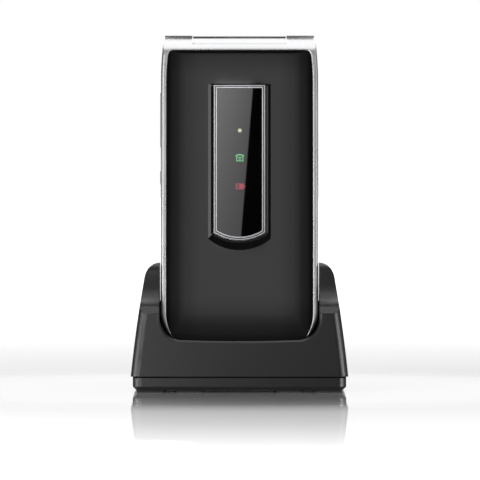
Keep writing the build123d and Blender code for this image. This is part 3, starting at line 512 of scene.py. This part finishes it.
# ------------------------------------------------------------------ battery
# Lithium cell in an aluminium-laminate pouch with a blank film label, and gold pads that
# meet the bay's springs. The charging pads of the phone have the same plating.

# Aluminium laminate: a dull metal with soft creases.
foil, shader = start("aluminium_laminate_foil", "#8E9094", 0.35, Metallic=0.8)
_, patches = grain(foil, shader, 0.6, 0.004, 0.2)
vary(foil, shader, patches, "#858789", "#999B9F")
dress(foil, "battery")
# Matt film: pale grey, with no highlight.
label_film, shader = start("matt_label_film", "#C9CBC8", 0.6)
_, patches = grain(label_film, shader, 0.4, 0.002, 0.05)
vary(label_film, shader, patches, "#C2C4C1", "#D2D3D1")
label_width, label_height, label_z, film_depth = 31.0, 46.0, 53.6, 0.05
label = bmesh.new()
plate(label, label_width, label_height, 1.5)
printed("battery_label", label, film_depth, on_back(0, 7.2, label_z), label_film, "keypad_half")
# Hard gold over nickel: a warm, shiny metal.
gold, shader = start("gold_plating", "#E2BE6A", 0.2, Metallic=1.0)
_, patches = grain(gold, shader, 0.3, 0.001, 0.08)
vary(gold, shader, patches, "#DAB45E", "#E9C878")
dress(gold, "charge_pads", "contact_pin_left", "contact_pin_right")
terminal_pitch, terminal_depth = 4.0, 0.04
terminals = bmesh.new()
for step in (-1, 0, 1):
    plate(terminals, 1.8, 1.2, 0.2, step * terminal_pitch, 0)
printed("battery_terminals", terminals, terminal_depth, on_back(0, 6.6, 80.05), gold,
        "keypad_half")
blade_depth, phone_blade_pitch = 0.03, 0.75
contacts = bmesh.new()
for step in range(-2, 3):
    plate(contacts, 2.8, 0.4, 0.0, 0, step * phone_blade_pitch)
printed("phone_socket_contacts", contacts, blade_depth, on_front(24.0, 5.8, 56.0), gold,
        "keypad_half")

# ------------------------------------------------------------------ cradle
# Two mouldings of black ABS with a satin, lightly etched face, screwed together from below;
# rubber pads hold it on the desk and the charging socket opens through the back. The etched face
# gives broad, soft highlights that stay dark.
cradle_plastic, shader = start("satin_black_abs", "#101011", 0.34, Specular_IOR_Level=0.32)
pits, _ = grain(cradle_plastic, shader, 0.3, 0.0012, 0.35, 0.02)
vary(cradle_plastic, shader, pits, "#0E0E0F", "#131315")
dress(cradle_plastic, "cradle_shell", "cradle_base", "contact_block")
from_cradle = Matrix.Scale(1 / per_m, 4)
cradle_blade_pitch = 0.85
contacts = bmesh.new()
for step in range(-2, 3):
    plate(contacts, 0.4, 3.0, 0.0, step * cradle_blade_pitch, 0)
printed("cradle_socket_contacts", contacts, blade_depth,
        from_cradle @ Matrix.Translation((0, 28.1, 8.6)), gold, "cradle")
face_down = Matrix.Rotation(math.pi, 4, "X")
base_screw_x, base_screw_z, base_cross = 28.5, 1.31, 2.4
# Dark crosses of painted shade stand for the recesses of the cradle screws.
cross_recess_shades("cradle_screw_recess_shades",
               [from_cradle @ Matrix.Translation((x, y, base_screw_z)) @ face_down
                for x in (-base_screw_x, base_screw_x) for y in (-13.0, 15.0)],
               base_cross, "cradle")

# ------------------------------------------------------------------ studio
# White sweep and floor, lamps and soft boxes round the phone, and two lit sheets in front of it.
# Dark cards hide the sweep from the glossy faces, in front, behind both sides, above and beside,
# so that every bright edge has a dark rim.


def shown_part(owner):
    """One where a ray comes from the camera, a gloss or a clear piece, and zero elsewhere."""
    path = add(owner, "LightPath", {}).outputs
    seen = add(owner, "Math", {0: path["Is Camera Ray"], 1: path["Is Glossy Ray"]},
               operation="MAXIMUM")
    shown = add(owner, "Math", {0: seen.outputs[0], 1: path["Is Transmission Ray"]},
                operation="MAXIMUM")
    return shown.outputs[0]


# The sweep is white to the eye and in mirror images, and lights matt faces with less.
sweep_light = 0.3
world = bpy.context.scene.world or bpy.data.worlds.new("studio")
bpy.context.scene.world = world
world.use_nodes = True
sweep = world.node_tree.nodes["Background"]
sweep.inputs["Color"].default_value = (1, 1, 1, 1)
total = add(world, "Math", {0: shown_part(world), 1: sweep_light}, operation="MAXIMUM")
world.node_tree.links.new(total.outputs[0], sweep.inputs["Strength"])


def stage_paint(name):
    """A material of the studio, without nodes yet."""
    paint = bpy.data.materials.new(name)
    paint.use_nodes = True
    paint.node_tree.nodes.clear()
    return paint


def stage_sheet(name, paint, across_size, up_size, place, facing):
    """A flat piece of the studio, drawn in its own plane and turned where it is needed."""
    sheet = bmesh.new()
    bmesh.ops.create_grid(sheet, x_segments=1, y_segments=1, size=0.5)
    bmesh.ops.scale(sheet, vec=(across_size, up_size, 1), verts=sheet.verts[:])
    bmesh.ops.transform(sheet, matrix=Matrix.LocRotScale(place, facing, None),
                        verts=sheet.verts[:])
    mesh = bpy.data.meshes.new(name)
    sheet.to_mesh(mesh)
    sheet.free()
    mesh.materials.append(paint)
    holder = bpy.data.objects.new(name, mesh)
    bpy.context.scene.collection.objects.link(holder)
    return holder


# The floor is lit under the phone and fades to the white of the sweep. Seen at a glancing angle
# it is polished near the phone: the polish falls off by stops of distance, in metres.
floor_paint = stage_paint("floor")
here = add(floor_paint, "TexCoord", {}).outputs["Object"]
apart = add(floor_paint, "VectorMath", {0: here}, operation="LENGTH").outputs["Value"]
clean = add(floor_paint, "MapRange", {
    "Value": apart, "From Min": 0.04, "From Max": 0.9, "To Min": 0.0, "To Max": 1.15})
lift = add(floor_paint, "Math", {0: shown_part(floor_paint), 1: clean.outputs["Result"]},
           operation="MULTIPLY")
lit = add(floor_paint, "BsdfDiffuse", {"Color": (0.8, 0.8, 0.8, 1)})
glow = add(floor_paint, "Emission", {"Color": (1, 1, 1, 1), "Strength": lift.outputs[0]})
matt = add(floor_paint, "AddShader", {0: lit.outputs[0], 1: glow.outputs[0]})
gloss = add(floor_paint, "BsdfGlossy", {"Color": (1, 1, 1, 1), "Roughness": 0.04})


def fill_ramp(ramp, stops):
    """Sets the stops of a grey colour ramp, each a place and a level."""
    elements = ramp.color_ramp.elements
    for index, (spot, level) in enumerate(stops):
        element = elements[index] if index < 2 else elements.new(1.0)
        element.position, element.color = spot, (level, level, level, 1)
    return ramp.outputs["Color"]


fading = fill_ramp(add(floor_paint, "ValToRGB", {"Fac": apart}), (
    (0.09, 0.88), (0.12, 0.8), (0.147, 0.57), (0.17, 0.47), (0.19, 0.43), (0.25, 0.39),
    (0.35, 0.27), (0.55, 0.0)))
facing = add(floor_paint, "LayerWeight", {"Blend": 0.5}).outputs["Facing"]
glancing = add(floor_paint, "MapRange", {"Value": facing, "From Min": 0.86, "From Max": 0.945})
polish = add(floor_paint, "Math", {0: fading, 1: glancing.outputs["Result"]},
             operation="MULTIPLY")
surface = add(floor_paint, "MixShader", {
    0: polish.outputs[0], 1: matt.outputs[0], 2: gloss.outputs[0]})
add(floor_paint, "OutputMaterial", {"Surface": surface.outputs[0]})
floor_size = 8.0
lying = Matrix.Identity(3).to_quaternion()
stage_sheet("floor", floor_paint, floor_size, floor_size, (0, 0, 0), lying)

aim = Vector((0, -0.01, 0.055))


def towards(place):
    """Turn of a sheet or lamp that looks at the phone."""
    return (aim - Vector(place)).to_track_quat("-Z", "Y")


def only_mirrored(holder):
    """Leaves a card to the glossy faces alone."""
    holder.visible_camera = holder.visible_diffuse = holder.visible_shadow = False
    holder.visible_transmission = holder.visible_volume_scatter = False


# The large cards stand far off. A strip and two patches close in front keep the scoop of the
# cradle and its corners dark.
dark_cloth = stage_paint("dark_card")
matt = add(dark_cloth, "BsdfDiffuse", {"Color": (0.0, 0.0, 0.0, 1)})
add(dark_cloth, "OutputMaterial", {"Surface": matt.outputs[0]})
for name, place, across_size, up_size in (
        ("dark_card_front", (0, -1.6, 0.72), 3.2, 1.9),
        ("dark_card_left", (-0.6, 0.69, 0.6), 1.1, 1.4),
        ("dark_card_right", (0.6, 0.69, 0.6), 1.1, 1.4),
        ("dark_card_above", (0.0, 0.85, 0.9), 1.6, 1.0),
        ("dark_card_beside_left", (-0.55, -0.03, 0.36), 0.68, 0.5),
        ("dark_card_beside_right", (0.55, 0.09, 0.36), 0.42, 0.5),
        ("dark_strip", (0.0, -0.123, 0.216), 0.14, 0.036),
        ("dark_patch_left", (-0.088, -0.112, 0.205), 0.07, 0.055),
        ("dark_patch_right", (0.088, -0.112, 0.205), 0.07, 0.055)):
    only_mirrored(stage_sheet(name, dark_cloth, across_size, up_size, place, towards(place)))

# A lit sheet stands where the polished panel mirrors it: full in the middle and fading to its
# edges. Its stops are in millimetres, from its middle line and from the floor.
light_sheet = stage_paint("light_sheet")
here = add(light_sheet, "TexCoord", {}).outputs["Object"]
in_mm = add(light_sheet, "VectorMath", {0: here, 1: (per_m, per_m, per_m)}, operation="MULTIPLY")
x, y, z = add(light_sheet, "SeparateXYZ", {"Vector": in_mm.outputs["Vector"]}).outputs


def fade(value, low, high, stops):
    """Brightness along one direction of the lit sheet."""
    share = add(light_sheet, "MapRange", {"Value": value, "From Min": low, "From Max": high})
    ramp = add(light_sheet, "ValToRGB", {"Fac": share.outputs["Result"]})
    return fill_ramp(ramp, [((spot - low) / (high - low), level) for spot, level in stops])


aside = add(light_sheet, "Math", {0: x}, operation="ABSOLUTE").outputs[0]
sides = fade(aside, 0, 80, (
    (15, 1.0), (17, 0.9), (19.4, 0.71), (37.6, 0.58), (54, 0.31), (70, 0.14), (80, 0.03)))
rise = fade(z, 55, 335, (
    (58, 0.0), (74, 0.14), (88.6, 0.27), (103, 0.456), (117.4, 0.63), (119.8, 0.8), (122.2, 0.93),
    (124.6, 1.0), (213.5, 1.0), (215.9, 0.9), (218.2, 0.77), (220.5, 0.63), (250, 0.5),
    (311, 0.45), (330, 0.0)))
full_level = 1.08
faded = add(light_sheet, "Math", {0: sides, 1: rise}, operation="MULTIPLY")
sheet_level = add(light_sheet, "Math", {0: faded.outputs[0], 1: full_level},
                  operation="MULTIPLY")

# Where the indicator window mirrors it, the sheet is brighter, most of all towards its top and
# its left side, and is cut off along a slanted edge.
pane_half, pane_foot, pane_head = 8.6, 145.6, 210.6
slant = add(light_sheet, "MapRange", {
    "Value": z, "From Min": 148.8, "From Max": 209.3, "To Min": 0.5, "To Max": 5.1}, clamp=False)
beyond = add(light_sheet, "Math", {0: slant.outputs["Result"], 1: x},
             operation="SUBTRACT").outputs[0]
lit_part = add(light_sheet, "MapRange", {"Value": beyond, "From Min": -0.15, "From Max": 0.15})
across_pane = add(light_sheet, "MapRange", {"Value": beyond, "From Min": 0.0, "From Max": 13.5})
up_pane = add(light_sheet, "MapRange", {
    "Value": z, "From Min": 150, "From Max": 209}).outputs["Result"]
near_edge = add(light_sheet, "MapRange", {"Value": up_pane, "To Min": 1.6, "To Max": 2.3})
far_edge = add(light_sheet, "MapRange", {"Value": up_pane, "To Min": 2.4, "To Max": 4.1})
pane_light = add(light_sheet, "MapRange", {
    "Value": across_pane.outputs["Result"], "To Min": near_edge.outputs["Result"],
    "To Max": far_edge.outputs["Result"]})
pane_level = add(light_sheet, "Math", {
    0: pane_light.outputs["Result"], 1: lit_part.outputs["Result"]}, operation="MULTIPLY")
inside = add(light_sheet, "Math", {0: aside, 1: pane_half}, operation="LESS_THAN").outputs[0]
for limit, relation in ((pane_foot, "GREATER_THAN"), (pane_head, "LESS_THAN")):
    within = add(light_sheet, "Math", {0: z, 1: limit}, operation=relation).outputs[0]
    inside = add(light_sheet, "Math", {0: inside, 1: within}, operation="MULTIPLY").outputs[0]
strength = add(light_sheet, "Mix", {
    0: inside, 2: sheet_level.outputs[0], 3: pane_level.outputs[0]})
glow = add(light_sheet, "Emission", {"Color": (1, 1, 1, 1), "Strength": strength.outputs[0]})
add(light_sheet, "OutputMaterial", {"Surface": glow.outputs[0]})
upright_sheet = Matrix.Rotation(math.pi / 2, 3, "X").to_quaternion()
only_mirrored(stage_sheet("light_sheet", light_sheet, 0.16, 0.27, (0, -0.3, 0.195),
                          upright_sheet))

# A low sheet does the same for the front of the cradle: bright on the left, fading to the right.
low_sheet = stage_paint("low_sheet")
here = add(low_sheet, "TexCoord", {}).outputs["Object"]
along = add(low_sheet, "SeparateXYZ", {"Vector": here}).outputs["X"]
fall = add(low_sheet, "MapRange", {
    "Value": along, "From Min": -0.1, "From Max": -0.012, "To Min": 9.5, "To Max": 0.0})
glow = add(low_sheet, "Emission", {"Color": (1, 1, 1, 1), "Strength": fall.outputs["Result"]})
add(low_sheet, "OutputMaterial", {"Surface": glow.outputs[0]})
only_mirrored(stage_sheet("low_sheet", low_sheet, 0.25, 0.054, (-0.115, -0.3, 0.03),
                          upright_sheet))

# Three lamps light only the matt side of things. The boxes are only mirrored: those at the sides
# by upright walls and edges, the low ones by the cradle's corners, the two small ones by the
# bevel of its shelf, and the roof by upper edges and the barrel.
for name, place, width, height, power, mirrored in (
        ("key_lamp", (-0.5, -0.75, 0.35), 0.5, 0.5, 5.5, False),
        ("fill_lamp", (0.6, -0.8, 0.3), 0.6, 0.6, 2.2, False),
        ("top_lamp", (0.0, 0.1, 0.9), 0.6, 0.6, 2.2, False),
        ("side_box_left", (-0.34, -0.65, 0.3), 0.3, 0.4, 1.6, True),
        ("side_box_right", (0.6, -0.25, 0.23), 0.16, 0.3, 0.25, True),
        ("low_box_left", (-0.53, -0.26, 0.031), 0.4, 0.05, 1.25, True),
        ("low_box_right", (0.48, -0.29, 0.031), 0.36, 0.05, 1.4, True),
        ("shelf_box", (-0.07, 0.055, 0.19), 0.06, 0.05, 0.1, True),
        ("shelf_box", (0.07, 0.055, 0.19), 0.06, 0.05, 0.1, True),
        ("roof_box", (0.0, -0.19, 0.84), 1.0, 1.1, 4.2, True)):
    light = bpy.data.lights.new(name, "AREA")
    light.shape, light.size, light.size_y, light.energy = "RECTANGLE", width, height, power
    holder = bpy.data.objects.new(name, light)
    holder.location = place
    holder.rotation_euler = towards(place).to_euler()
    holder.visible_camera = False
    holder.visible_glossy, holder.visible_diffuse = mirrored, not mirrored
    bpy.context.scene.collection.objects.link(holder)

# A long lens far off, a little above the middle of the phone.
sensor, view_width, distance, rise_angle = 36.0, 0.161, 2.5, math.radians(1.25)
centre = Vector((0.00017, -0.02, 0.0508))
camera = bpy.data.cameras.new("camera")
camera.sensor_width = sensor
camera.lens = sensor * distance / view_width
holder = bpy.data.objects.new("camera", camera)
out = Vector((0, -math.cos(rise_angle), math.sin(rise_angle)))
holder.location = centre + out * distance
holder.rotation_euler = (-out).to_track_quat("-Z", "Y").to_euler()
bpy.context.scene.collection.objects.link(holder)
bpy.context.scene.camera = holder
bpy.context.scene.view_settings.view_transform = "Standard"
